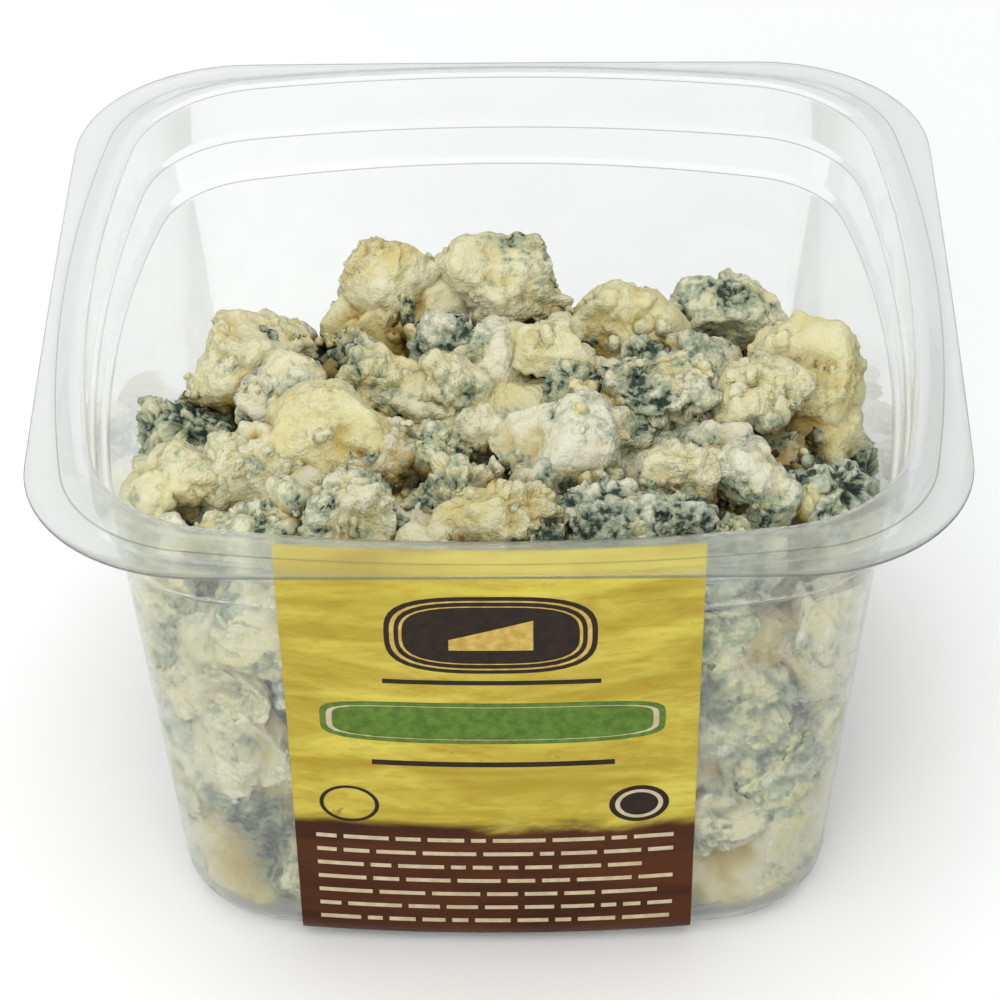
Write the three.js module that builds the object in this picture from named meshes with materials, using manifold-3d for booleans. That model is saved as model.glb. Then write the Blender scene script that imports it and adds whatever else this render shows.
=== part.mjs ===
// An open square tub of clear plastic, filled with crumbled blue-veined cheese, with a paper label
// on its front wall. Millimetres, +Z up, the label faces -Y and the origin is the middle of the base.
import * as THREE from 'three';
import { mergeVertices } from 'three/addons/utils/BufferGeometryUtils.js';
import Module from 'manifold-3d';

const wasm = await Module();
wasm.setup();

// Driving dimensions of the tub
const FLANGE_HALF = 65;
const FLANGE_HEIGHT = 80.4;
const SHEET = 0.8;
const BASE_HALF = 44.4;
const BASE_CORNER = 12.9;
const BASE_BOW = 1.9;
const BASE_RADIUS = 5;
const WALL_TOP = 67.2;
const FINE_STEPS = { side: 4, corner: 5 };
const COARSE_STEPS = { side: 2, corner: 3 };
const FILLET_STEPS = 4;

// Driving dimensions of the heap
const WALL_GAP = 0.45;
const CORE_INSET = 4;
const CORE_SINK = 4;
const CORE_FOOT = 9;
const HEAP_TOP = 71;
const BACK_FALL = 30;
const SIDE_FALL = 16;
const CRUMBS_ACROSS = 8;
const CRUMB_SPACING = 13;
const CRUMB_HALF = [5.4, 8];
const CRUMB_SCATTER = 0.7;
const CRUMB_SINK = 0.75;
const WALL_CRUMB_HALF = [7, 11];
const WALL_CRUMB_ROWS = 5;
const WALL_CRUMB_STEP = 12.5;
const WALL_CRUMB_DEPTH = 5.5;
const WALL_CRUMBS_ROUND = 14;
const LUMP_REACH = [0.86, 1.14];
const LUMP_TILT = 30;
const HEAP_SEED = 20;

// Driving dimensions of the label
const LABEL_TOP_WIDTH = 57.8;
const LABEL_FOOT_WIDTH = 56.6;
const LABEL_THICKNESS = 0.3;
const LABEL_GAP = 0.35;
const LABEL_TOP = 81;
const LABEL_FOOT = 1.3;
const LABEL_SHIFT = -1.1;

const degrees = (angle) => THREE.MathUtils.degToRad(angle);

// One level of the tub: half its width at the middle of a side, the radius of its corners,
// and how far the middle of a side stands out past the side's ends.
const level = (half, corner, bow, z) => ({ half, corner, bow, z });

// The upper face of the plastic sheet, from the edge of the floor out to the edge of the flange.
function sheetLevels() {
  const levels = [];
  const inner = BASE_RADIUS - SHEET;
  for (let i = 0; i <= FILLET_STEPS; i += 1) {
    const turn = degrees(90 * i / FILLET_STEPS);
    const out = inner * Math.sin(turn);
    const rise = inner * (1 - Math.cos(turn));
    levels.push(level(BASE_HALF + out, BASE_CORNER + out, BASE_BOW, SHEET + rise));
  }
  levels.push(level(56.3, 16, 4.6, WALL_TOP));
  levels.push(level(57.2, 17.5, 4.2, WALL_TOP + 0.8));
  levels.push(level(57.7, 18.5, 3.2, WALL_TOP + 5.8));
  levels.push(level(58.4, 20.3, 2.9, WALL_TOP + 6.6));
  levels.push(level(58.9, 21.5, 2.9, FLANGE_HEIGHT + 1));
  levels.push(level(59.5, 22, 2.9, FLANGE_HEIGHT + 1.8));
  levels.push(level(60.7, 22, 3, FLANGE_HEIGHT + 1.8));
  levels.push(level(63, 20.5, 3.4, FLANGE_HEIGHT + 0.5));
  levels.push(level(63.8, 22, 2.4, FLANGE_HEIGHT));
  levels.push(level(FLANGE_HALF, 25.3, 0.2, FLANGE_HEIGHT));
  return levels;
}

// The same levels moved outward and down by a distance, square to the sheet.
function offsetLevels(levels, distance) {
  const points = levels.map(({ half, z }) => new THREE.Vector2(half, z));
  points.unshift(new THREE.Vector2(0, points[0].y));
  return levels.map((at, i) => {
    const before = points[i + 1].clone().sub(points[i]).normalize();
    const next = points[i + 2] ?? points[i + 1].clone().add(before);
    const after = next.clone().sub(points[i + 1]).normalize();
    const side = new THREE.Vector2(before.y + after.y, -before.x - after.x).normalize();
    const stretch = distance / (side.x * before.y - side.y * before.x);
    const out = side.x * stretch;
    return level(at.half + out, at.corner + out, at.bow, at.z + side.y * stretch);
  });
}

// The square outline of a level, counter-clockwise from the middle of the +X side. Each side is a
// shallow arc and each corner is an arc that meets two sides smoothly.
function outline({ half, corner, bow }, steps) {
  const reach = half - corner;
  const sideRadius = (reach * reach + bow * bow) / (2 * bow);
  const sideCentre = half - sideRadius;
  const span = sideRadius - corner;
  const centre = (sideCentre + Math.sqrt(2 * span * span - sideCentre * sideCentre)) / 2;
  const sideAngle = Math.atan2(centre, centre - sideCentre);
  const points = [];
  const arc = (cx, cy, radius, from, to, count, turn) => {
    for (let i = 0; i < count; i += 1) {
      const angle = from + (to - from) * i / count;
      const point = new THREE.Vector2(cx + radius * Math.cos(angle), cy + radius * Math.sin(angle));
      points.push(point.rotateAround(new THREE.Vector2(), turn));
    }
  };
  for (let quarter = 0; quarter < 4; quarter += 1) {
    const turn = degrees(90 * quarter);
    const cornerEnd = Math.PI / 2 - sideAngle;
    arc(sideCentre, 0, sideRadius, 0, sideAngle, steps.side, turn);
    arc(centre, centre, corner, sideAngle, cornerEnd, steps.corner, turn);
    arc(0, sideCentre, sideRadius, cornerEnd, Math.PI / 2, steps.side, turn);
  }
  return points;
}

const ringAt = (at, steps) => outline(at, steps).map(({ x, y }) => new THREE.Vector3(x, y, at.z));

// A closed skin from a start point, through rings of equal length, to an end point. The rings run
// outward over the top of the solid and back under it.
function loft(start, rings, end) {
  const count = rings[0].length;
  const points = [start, ...rings.flat(), end];
  const last = points.length - 1;
  const at = (ring, i) => 1 + ring * count + (i % count);
  const faces = [];
  for (let i = 0; i < count; i += 1) {
    faces.push(0, at(0, i), at(0, i + 1));
    for (let ring = 0; ring + 1 < rings.length; ring += 1) {
      faces.push(at(ring, i), at(ring + 1, i), at(ring + 1, i + 1));
      faces.push(at(ring, i), at(ring + 1, i + 1), at(ring, i + 1));
    }
    faces.push(at(rings.length - 1, i), last, at(rings.length - 1, i + 1));
  }
  const geometry = new THREE.BufferGeometry().setFromPoints(points);
  geometry.setIndex(faces);
  return geometry;
}

// A solid of the levels given from the bottom up, with flat ends.
function stack(levels, steps) {
  const rings = levels.map((at) => ringAt(at, steps)).reverse();
  const top = new THREE.Vector3(0, 0, levels.at(-1).z);
  const foot = new THREE.Vector3(0, 0, levels[0].z);
  return loft(top, rings, foot);
}

function toSolid(geometry) {
  const bare = geometry.clone();
  bare.deleteAttribute('normal');
  bare.deleteAttribute('uv');
  const merged = mergeVertices(bare);
  return new wasm.Manifold(new wasm.Mesh({
    numProp: 3,
    vertProperties: new Float32Array(merged.attributes.position.array),
    triVerts: new Uint32Array(merged.index.array),
  }));
}

// The geometry of a solid's outer skin: sealed hollows inside it are filled and loose scraps dropped.
function outerSkin(solid) {
  const { vertProperties, triVerts } = solid.getMesh();
  const parent = Array.from({ length: vertProperties.length / 3 }, (_, i) => i);
  const root = (i) => {
    let at = i;
    while (parent[at] !== at) {
      parent[at] = parent[parent[at]];
      at = parent[at];
    }
    return at;
  };
  for (let i = 0; i < triVerts.length; i += 3) {
    parent[root(triVerts[i])] = root(triVerts[i + 1]);
    parent[root(triVerts[i + 1])] = root(triVerts[i + 2]);
  }
  const corner = (i) => new THREE.Vector3().fromArray(vertProperties, 3 * triVerts[i]);
  const volumes = new Map();
  for (let i = 0; i < triVerts.length; i += 3) {
    const key = root(triVerts[i]);
    const volume = corner(i).dot(corner(i + 1).cross(corner(i + 2))) / 6;
    volumes.set(key, (volumes.get(key) ?? 0) + volume);
  }
  const [largest] = [...volumes].sort((a, b) => b[1] - a[1])[0];
  const kept = Array.from(triVerts).filter((_, i) => root(triVerts[i - (i % 3)]) === largest);
  const geometry = new THREE.BufferGeometry();
  geometry.setAttribute('position', new THREE.BufferAttribute(vertProperties, 3));
  geometry.setIndex(kept);
  const compact = mergeVertices(geometry.toNonIndexed());
  compact.computeVertexNormals();
  return compact;
}

// The tub is one sheet: floor, drafted walls, two ledges, a raised bead and a flat flange.
function tubGeometry() {
  const upper = sheetLevels();
  const lower = offsetLevels(upper, SHEET);
  const rings = [...upper, ...lower.reverse()].map((at) => ringAt(at, FINE_STEPS));
  return loft(new THREE.Vector3(0, 0, SHEET), rings, new THREE.Vector3(0, 0, 0));
}

// The space inside the tub, a small gap clear of the plastic.
function cavitySolid() {
  const walls = offsetLevels(sheetLevels(), -WALL_GAP);
  const mouth = walls.findIndex(({ z }) => z > FLANGE_HEIGHT);
  return toSolid(stack(walls.slice(0, mouth + 1), COARSE_STEPS));
}

// Evenly spread repeatable numbers from 0 up to 1.
function randomSource(seed) {
  let state = seed;
  return () => {
    state = (Math.imul(state, 1664525) + 1013904223) >>> 0;
    return state / 4294967296;
  };
}

const between = ([low, high], random) => low + (high - low) * random();

const smooth = (value) => THREE.MathUtils.smoothstep(value, 0, 1);

// Height of the heap's surface: highest along the front, falling to the back wall and the sides.
function heapLevel(x, y) {
  const back = smooth((y + 5) / 55);
  const side = smooth((Math.abs(x) - 28) / 28);
  return HEAP_TOP - BACK_FALL * back - SIDE_FALL * side;
}

// The large lumps that show on top, from the back of the heap to the front: the middle of each,
// its size along X, Y and Z, and its turn about Z in degrees.
const LUMPS = [
  { at: [-17, 20, 69], size: [13, 12, 17], turn: 10 },
  { at: [-19, 14, 61], size: [15, 13, 13], turn: -15 },
  { at: [0, 20, 69], size: [19, 14, 15], turn: 5 },
  { at: [33, 21, 63], size: [19, 13, 11], turn: 10 },
  { at: [18, 14, 66], size: [18, 13, 12], turn: -8 },
  { at: [-37, 8, 63], size: [19, 17, 17], turn: 25 },
  { at: [-8, 8, 66], size: [9, 9, 12], turn: 0 },
  { at: [7, 1, 71], size: [16, 8, 9], turn: -28 },
  { at: [44, 0, 64], size: [17, 20, 20], turn: -12 },
  { at: [37, -10, 70], size: [15, 12, 9], turn: 12 },
  { at: [23, -9, 70], size: [21, 13, 12], turn: -10 },
  { at: [-31, -4, 66], size: [13, 11, 9], turn: 15 },
  { at: [-12, -5, 65], size: [16, 12, 10], turn: 0 },
  { at: [-3, -15, 66], size: [9, 9, 11], turn: 20 },
  { at: [-24, -18, 68], size: [23, 17, 15], turn: -12 },
  { at: [-38, -21, 66], size: [9, 9, 10], turn: 0 },
  { at: [9, -20, 69], size: [20, 15, 14], turn: 6 },
  { at: [-45, -21, 62], size: [16, 14, 13], turn: -8 },
  { at: [46, -25, 62], size: [13, 12, 12], turn: 0 },
  { at: [34, -29, 67], size: [13, 14, 17], turn: 10 },
  { at: [25, -31, 70], size: [12, 11, 11], turn: 0 },
  { at: [0, -40, 70], size: [18, 13, 13], turn: 8 },
  { at: [19, -40, 69], size: [22, 13, 13], turn: -5 },
  { at: [-20, -40, 70], size: [16, 12, 13], turn: -6 },
  { at: [-34, -38, 67], size: [15, 12, 11], turn: 12 },
];

// A rough lump: a ball of flat faces whose corners are pushed in and out, then stretched and turned.
function lumpSolid(at, halves, turn, detail, random) {
  const ball = new THREE.IcosahedronGeometry(1, detail);
  ball.deleteAttribute('normal');
  ball.deleteAttribute('uv');
  const lump = mergeVertices(ball);
  const corners = lump.attributes.position;
  for (let i = 0; i < corners.count; i += 1) {
    const reach = between(LUMP_REACH, random);
    corners.setXYZ(i, corners.getX(i) * reach, corners.getY(i) * reach, corners.getZ(i) * reach);
  }
  lump.scale(...halves);
  lump.rotateX(degrees(LUMP_TILT * (random() - 0.5)));
  lump.rotateZ(degrees(turn));
  lump.translate(...at);
  return toSolid(lump);
}

function largeLumps(random) {
  return LUMPS.map(({ at, size, turn }) => lumpSolid(at, size.map((s) => s / 2), turn, 1, random));
}

// Small lumps over the whole surface of the heap, each at the middle of a jittered square.
function surfaceCrumbs(random) {
  const crumbs = [];
  const place = (i) => CRUMB_SPACING * (i - (CRUMBS_ACROSS - 1) / 2 + CRUMB_SCATTER * (random() - 0.5));
  for (let column = 0; column < CRUMBS_ACROSS; column += 1) {
    for (let row = 0; row < CRUMBS_ACROSS; row += 1) {
      const px = place(column);
      const py = place(row);
      const halves = [0, 1, 2].map(() => between(CRUMB_HALF, random));
      const pz = heapLevel(px, py) - CRUMB_SINK * halves[2];
      crumbs.push(lumpSolid([px, py, pz], halves, 180 * random(), 0, random));
    }
  }
  return crumbs;
}

// Lumps round the walls, in rows up to the heap's surface, which the cavity then cuts flat.
function wallCrumbs(random) {
  const crumbs = [];
  for (let row = 0; row < WALL_CRUMB_ROWS; row += 1) {
    const z = CORE_FOOT + 1 + row * WALL_CRUMB_STEP;
    const rise = (z - BASE_RADIUS) / (WALL_TOP - BASE_RADIUS);
    const half = THREE.MathUtils.lerp(BASE_HALF + BASE_RADIUS, 57, rise) - WALL_CRUMB_DEPTH;
    const corners = outline(level(half, 15, 2, z), FINE_STEPS);
    const ring = new THREE.Path([...corners, corners[0]]);
    for (let i = 0; i < WALL_CRUMBS_ROUND; i += 1) {
      const share = (i + 0.5 * (row % 2) + 0.5 * random()) / WALL_CRUMBS_ROUND;
      const { x, y } = ring.getPointAt(share % 1);
      const halves = [0, 1, 2].map(() => between(WALL_CRUMB_HALF, random));
      const lift = 4 * (random() - 0.5);
      const turn = 180 * random();
      if (z + lift + 0.6 * halves[2] < heapLevel(x, y)) {
        crumbs.push(lumpSolid([x, y, z + lift], halves, turn, 0, random));
      }
    }
  }
  return crumbs;
}

// The heap's core: clear of the walls and the floor's corners, with the heap's own slope on top.
function coreSolid() {
  const widest = level(52, 16, 3, 0);
  const slope = [0.3, 0.6, 0.85, 1].map((share) => outline(widest, COARSE_STEPS).map(({ x, y }) => {
    const px = x * share;
    const py = y * share;
    return new THREE.Vector3(px, py, heapLevel(px, py) - CORE_SINK);
  }));
  const wallFoot = level(BASE_HALF + BASE_RADIUS - CORE_INSET, 18, 2, CORE_FOOT + 6);
  const floorEdge = level(BASE_HALF - CORE_INSET, 16, 2, SHEET + 2);
  const rings = [...slope, ringAt(wallFoot, COARSE_STEPS), ringAt(floorEdge, COARSE_STEPS)];
  const top = new THREE.Vector3(0, 0, heapLevel(0, 0) - CORE_SINK);
  return toSolid(loft(top, rings, new THREE.Vector3(0, 0, SHEET + 2)));
}

// The cheese is one heap: the core with every lump fused on, cut to the space inside the tub.
function cheeseGeometry() {
  const random = randomSource(HEAP_SEED);
  const lumps = [...largeLumps(random), ...surfaceCrumbs(random), ...wallCrumbs(random)];
  const heap = lumps.reduce((sum, lump) => sum.add(lump), coreSolid());
  return outerSkin(heap.intersect(cavitySolid()));
}

// The label lies on the front wall, from up inside the bead down over the ledges, and turns in
// round the edge of the base.
function labelLevels(distance) {
  const levels = [];
  const radius = BASE_RADIUS + distance;
  for (const turn of [10, 30, 50, 70, 90]) {
    const out = radius * Math.sin(degrees(turn));
    const drop = radius * Math.cos(degrees(turn));
    levels.push(level(BASE_HALF + out, BASE_CORNER + out, BASE_BOW, BASE_RADIUS - drop));
  }
  levels.push(level(54.4 + distance, 17.6, 3.6, 45));
  levels.push(level(59.3 + distance, 20.5, 3, WALL_TOP + 6.4));
  levels.push(level(59.75 + distance, 21.5, 2.9, FLANGE_HEIGHT + 0.8));
  return levels;
}

function labelGeometry() {
  const behind = toSolid(stack(labelLevels(LABEL_GAP), FINE_STEPS));
  const front = toSolid(stack(labelLevels(LABEL_GAP + LABEL_THICKNESS), FINE_STEPS));
  const shape = new THREE.Shape([
    new THREE.Vector2(LABEL_SHIFT - LABEL_FOOT_WIDTH / 2, LABEL_FOOT),
    new THREE.Vector2(LABEL_SHIFT + LABEL_FOOT_WIDTH / 2, LABEL_FOOT),
    new THREE.Vector2(LABEL_SHIFT + LABEL_TOP_WIDTH / 2, LABEL_TOP),
    new THREE.Vector2(LABEL_SHIFT - LABEL_TOP_WIDTH / 2, LABEL_TOP),
  ]);
  const cutter = new THREE.ExtrudeGeometry(shape, { depth: FLANGE_HALF, bevelEnabled: false });
  cutter.rotateX(degrees(90));
  return outerSkin(front.subtract(behind).intersect(toSolid(cutter)));
}

function piece(name, geometry, look) {
  const mesh = new THREE.Mesh(geometry, new THREE.MeshStandardMaterial({ flatShading: true, ...look }));
  mesh.name = name;
  return mesh;
}

const clearPlastic = { color: 0xebf3ee, roughness: 0.08, metalness: 0, transparent: true, opacity: 0.3 };
const blueCheese = { color: 0xe6dfc0, roughness: 0.7, metalness: 0 };
const printedPaper = { color: 0xcdb84f, roughness: 0.5, metalness: 0 };

const tubOfCheese = new THREE.Group();
tubOfCheese.add(
  piece('tub', tubGeometry(), clearPlastic),
  piece('cheese', cheeseGeometry(), blueCheese),
  piece('label', labelGeometry(), printedPaper),
);

export default tubOfCheese;
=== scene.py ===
import functools
import math

import bpy
import numpy as np
from mathutils import Matrix, Vector


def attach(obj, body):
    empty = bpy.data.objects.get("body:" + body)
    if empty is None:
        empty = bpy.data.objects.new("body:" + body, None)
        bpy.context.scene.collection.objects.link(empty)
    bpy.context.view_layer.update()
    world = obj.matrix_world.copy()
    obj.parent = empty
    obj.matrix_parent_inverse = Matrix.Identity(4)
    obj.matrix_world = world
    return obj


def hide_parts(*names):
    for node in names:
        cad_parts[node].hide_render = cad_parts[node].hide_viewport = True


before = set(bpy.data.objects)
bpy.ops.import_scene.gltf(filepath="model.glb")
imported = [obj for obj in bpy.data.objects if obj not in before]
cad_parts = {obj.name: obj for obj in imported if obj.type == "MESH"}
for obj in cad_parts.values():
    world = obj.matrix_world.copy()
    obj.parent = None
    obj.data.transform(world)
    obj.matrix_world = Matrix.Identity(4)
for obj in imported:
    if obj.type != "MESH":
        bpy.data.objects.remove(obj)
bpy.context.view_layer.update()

# Driving dimensions of the tub, in metres, as in the solids
FLANGE_HALF = 0.065
FLANGE_HEIGHT = 0.0804
SHEET = 0.0008
BASE_HALF = 0.0444
BASE_CORNER = 0.0129
BASE_BOW = 0.0019
BASE_RADIUS = 0.005
WALL_TOP = 0.0672

# The visible sheet: its rounding, thickness, change of side, steps and the folds painted as grey lines
# of shade
FOLD_ROUND = 0.0005
EDGE_ROUND = 0.00012
THIN_SHEET = 0.0004
RIM_START = 0.070
RIM_END = 0.078
SIDE_STEPS = 12
CORNER_STEPS = 18
FILLET_STEPS = 8
FOLD_STEPS = 5
SHARP_FOLDS = (0, 2, 4, 7)

# Driving dimensions of the heap, in metres, as in the solids
HEAP_TOP = 0.071
BACK_FALL = 0.030
SIDE_FALL = 0.016
CORE_SINK = 0.004
CRUMBS_ACROSS = 8
CRUMB_SPACING = 0.013
CRUMB_HALF = (0.0054, 0.008)
CRUMB_SCATTER = 0.7
CRUMB_SINK = 0.75
WALL_CRUMB_HALF = (0.007, 0.011)
WALL_CRUMB_ROWS = 5
WALL_CRUMB_STEP = 0.0125
WALL_CRUMB_FOOT = 0.010
WALL_CRUMB_DEPTH = 0.0055
WALL_CRUMB_TOP = 0.057
WALL_CRUMB_LIFT = 0.004
ROOM_CORNER = 0.015
ROOM_BOW = 0.002
WALL_CRUMBS_ROUND = 14
CORE_FOOT = 0.0035
HEAP_SEED = 20

# The crumbly finish: dimensions in metres, with a few counts and shares
PRESS = 0.00018
CORE_PRESS = 0.00002
GOLDEN = 0.618
LUMP_EDGE = 0.00052
CRUMB_EDGE = 0.00055
WALL_EDGE = 0.00066
HIDDEN_DEPTH = 0.006
HIDDEN_SINK = 0.0008
LEAST_PATCH = 12
GAP_DEPTH = 0.0043
WALL_GAP_DEPTH = 0.008
PRESSED_DEPTH = 0.0015
PRESSED_RELIEF = 0.0016
HOLLOW_DEPTH = 0.0011
ROUGH_MOULD = 0.45
MAP_STEP = 0.001
MAP_REACH = 5
TOP_GRAINS = 360
TOP_REACH = 0.055
TOP_MARGIN = 0.002
TOP_HEIGHT = 0.06
TOP_ABOVE_MEAN = (-0.003, 0.002)
GRAIN_HALF = (0.0005, 0.0019)
GRAIN_STRETCH = (0.6, 1.5)
GRAIN_SINK = 0.4
GRAIN_FINENESS = 0.25
FOOT_RISE = 0.0065
FOOT_REACH = 0.011
FOOT_LEVEL = 0.014
FOOT_NOISE = 0.014
CORE_EDGE = 0.00095
CORE_GAP = 0.0011
CORE_HALF = 0.0535
CORE_CORNER = 0.016
CORE_TOP_RINGS = 35
CORE_FOOT_SHARES = (0.93, 0.8, 0.5)
CORE_SWELL_SIZE = 0.008
CORE_SWELL_DEPTH = 0.0050
CORE_TONE_SIZE = 0.011
CORE_MOULD_SIZE = 0.013

# Swells, ridges, granules and cracks of the crumbly surface: their sizes and depths
PATCH_SIZE = 0.0055
WARP_SIZE = 0.0026
WARP_REACH = 0.0009
SWELL_SIZE = 0.0050
SWELL_DEPTH = 0.0021
RIDGE_SIZE = 0.0034
RIDGE_DEPTH = 0.0016
COARSE_SIZE = 0.0021
COARSE_DEPTH = (0.0001, 0.0013)
FINE_SIZE = 0.0011
FINE_DEPTH = (0.00015, 0.0010)
CRACK_SIZE = 0.0065
CRACK_WIDTH = 0.03
CRACK_DEPTH = 0.0008

# How lumps break, and how strongly the painted shade darkens the gaps between them
LUMP_FACES = (6, 11)
GRAIN_FACES = (4, 8)
LUMP_HEIGHTS = (0.72, 1.04)
LUMP_SHARPNESS = 30
LUMP_BALL = 1.16
LUMP_TAPER = (0, 0.28)
LUMP_WAVE = 0.24
LUMP_SHADE = 0.5

# Driving dimensions of the label, in metres, as in the solids
LABEL_TOP_WIDTH = 0.0578
LABEL_FOOT_WIDTH = 0.0566
LABEL_TOP = 0.081
LABEL_FOOT = 0.0013
LABEL_SHIFT = -0.0011
LABEL_BACK = 0.00035
LABEL_FACE = 0.0006
LABEL_CELLS = (41, 80)

# Printed fields and shapes, in metres
PRINT_LIFT = 0.00003
FOOT_FIELD_TOP = 0.0255
EMBLEM_HEIGHT = 0.0652
BAND_HEIGHT = 0.0470
RULE_HEIGHTS = (0.0555, 0.0385)
BADGE_ASIDE = 0.0205
BADGE_HEIGHT = 0.0295
LINE_ROWS = 7
LINES_TOP = 0.0225
LINES_PITCH = 0.0029
LINES_ASIDE = 0.0255
LINES_END = 0.022
LINES_GAP = 0.0010
DASH_WIDTH = (0.002, 0.008)
DASH_HEIGHT = 0.0008
BAR_CELL = 0.0015
SHAPE_CELL = 0.003
SHAPE_STEPS = 49

# The camera stands where the photograph was taken from
FOCAL_PIXELS = 4173.07
IMAGE_PIXELS = 1000
SENSOR = 0.036
CAMERA_AZIMUTH = 0.0145
CAMERA_ELEVATION = 0.6495
CAMERA_ROLL = -0.0139
CAMERA_DISTANCE = 0.623
CAMERA_AIM = (-0.00043, 0.0, 0.0438)

# Patterns in the cheese: sizes in metres, shares in the veins, and where halo and mould start
REGION_SIZE = 0.009
BLOTCH_SIZE = 0.0022
SPECK_SIZE = 0.0010
RELIEF_SIZE = 0.0009
REGION_SHARE = 0.34
BLOTCH_SHARE = 0.36
SPECK_SHARE = 0.30
HALO_RANGE = (0.485, 0.585)
MOULD_RANGE = (0.570, 0.668)

# Colours, as red, green and blue up to 255
CREAM = (211, 210, 190)
YELLOW_CREAM = (209, 201, 146)
# Painted shade: amber in creases and gaps, and near black olive deep in the gaps
PAINTED_CREASE_AMBER = (194, 172, 88)
PAINTED_GAP_AMBER = (160, 130, 44)
GAP_SHADE = (36, 32, 4)
MOULD_HALO = (146, 161, 139)
MOULD = (32, 52, 46)
PAPER = ((160, 140, 42), (200, 186, 80))
PAPER_STREAK = (156, 120, 30)
PAPER_SPOT = (140, 74, 32)
FOOT_FIELD = ((54, 22, 1), (76, 38, 8))

# Light: the sky's strength, low down and overhead, and the power of each softbox
SKY_LOW = 0.31
SKY_HIGH = 0.93
BOX_POWER = 7


# Repeatable numbers from 0 up to 1, in the same order as the solids draw them.
class Draws:
    def __init__(self, seed):
        self.state = seed

    def next(self):
        self.state = (self.state * 1664525 + 1013904223) % 4294967296
        return self.state / 4294967296

    def between(self, span):
        return span[0] + (span[1] - span[0]) * self.next()

    def skip(self, count):
        for _ in range(count):
            self.next()


def smoothstep(value, low=0.0, high=1.0):
    share = np.clip((value - low) / (high - low), 0, 1)
    return share * share * (3 - 2 * share)


def lerp(a, b, share):
    return a + (b - a) * share


# Shapes shared with the solids
def sheet_levels():
    levels = []
    inner = BASE_RADIUS - SHEET
    for i in range(FILLET_STEPS + 1):
        turn = math.pi / 2 * i / FILLET_STEPS
        out = inner * math.sin(turn)
        rise = inner * (1 - math.cos(turn))
        levels.append((BASE_HALF + out, BASE_CORNER + out, BASE_BOW, SHEET + rise))
    folds = [
        (0.0563, 0.0160, 0.0046, WALL_TOP),
        (0.0572, 0.0175, 0.0042, WALL_TOP + 0.0008),
        (0.0577, 0.0185, 0.0032, WALL_TOP + 0.0058),
        (0.0584, 0.0203, 0.0029, WALL_TOP + 0.0066),
        (0.0589, 0.0215, 0.0029, FLANGE_HEIGHT + 0.0010),
        (0.0595, 0.0220, 0.0029, FLANGE_HEIGHT + 0.0018),
        (0.0607, 0.0220, 0.0030, FLANGE_HEIGHT + 0.0018),
        (0.0630, 0.0205, 0.0034, FLANGE_HEIGHT + 0.0005),
        (0.0638, 0.0220, 0.0024, FLANGE_HEIGHT),
        (FLANGE_HALF, 0.0253, 0.0002, FLANGE_HEIGHT),
    ]
    return np.array(levels + folds)


def offset_levels(levels, distance):
    points = levels[:, [0, 3]]
    before = np.diff(np.vstack([[0, points[0, 1]], points]), axis=0)
    before /= np.linalg.norm(before, axis=1, keepdims=True)
    after = np.vstack([before[1:], before[-1:]])
    side = np.column_stack([before[:, 1] + after[:, 1], -before[:, 0] - after[:, 0]])
    side /= np.linalg.norm(side, axis=1, keepdims=True)
    stretch = distance / (side[:, 0] * before[:, 1] - side[:, 1] * before[:, 0])
    moved = levels.copy()
    moved[:, 0] += side[:, 0] * stretch
    moved[:, 1] += side[:, 0] * stretch
    moved[:, 3] += side[:, 1] * stretch
    return moved


# The visible sheet is thinner than the solids'. It shares their outer face on the walls and the
# base, and their upper face on the rim.
def inner_offset(levels):
    return (SHEET - THIN_SHEET) * (1 - smoothstep(levels[:, 3], RIM_START, RIM_END))


# Every fold of the sheet rounded with a short curve.
def rounded_levels(levels):
    smooth = [levels[0]]
    for before, here, after in zip(levels[:-2], levels[1:-1], levels[2:]):
        back = before - here
        on = after - here
        back_length = math.hypot(back[0], back[3])
        on_length = math.hypot(on[0], on[3])
        start = here + back * min(FOLD_ROUND / back_length, 0.45)
        end = here + on * min(FOLD_ROUND / on_length, 0.45)
        for i in range(FOLD_STEPS + 1):
            t = i / FOLD_STEPS
            smooth.append((1 - t) ** 2 * start + 2 * t * (1 - t) * here + t * t * end)
    smooth.append(levels[-1])
    return np.array(smooth)


# The square outline of a level: each side a shallow arc and each corner an arc that meets two sides.
def outline(half, corner, bow):
    reach = half - corner
    side_radius = (reach * reach + bow * bow) / (2 * bow)
    side_centre = half - side_radius
    span = side_radius - corner
    centre = (side_centre + math.sqrt(2 * span * span - side_centre * side_centre)) / 2
    side_angle = math.atan2(centre, centre - side_centre)
    corner_end = math.pi / 2 - side_angle
    arcs = [
        (side_centre, 0, side_radius, 0, side_angle, SIDE_STEPS),
        (centre, centre, corner, side_angle, corner_end, CORNER_STEPS),
        (0, side_centre, side_radius, corner_end, math.pi / 2, SIDE_STEPS),
    ]
    quarter = []
    for cx, cy, radius, start, end, count in arcs:
        for i in range(count):
            angle = start + (end - start) * i / count
            quarter.append((cx + radius * math.cos(angle), cy + radius * math.sin(angle)))
    quarter = np.array(quarter)
    turned = [quarter]
    for _ in range(3):
        last = turned[-1]
        turned.append(np.column_stack([-last[:, 1], last[:, 0]]))
    return np.vstack(turned)


def ring_at(level):
    flat = outline(*level[:3])
    return np.column_stack([flat, np.full(len(flat), level[3])])


# A ring of points closed on itself, and how far along it each point lies.
def walk_round(ring):
    closed = np.vstack([ring, ring[:1]])
    return closed, np.concatenate([[0], np.cumsum(np.hypot(*np.diff(closed, axis=0).T))])


def heap_level(x, y):
    back = smoothstep((y + 0.005) / 0.055)
    side = smoothstep((np.abs(x) - 0.028) / 0.028)
    return HEAP_TOP - BACK_FALL * back - SIDE_FALL * side


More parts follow.
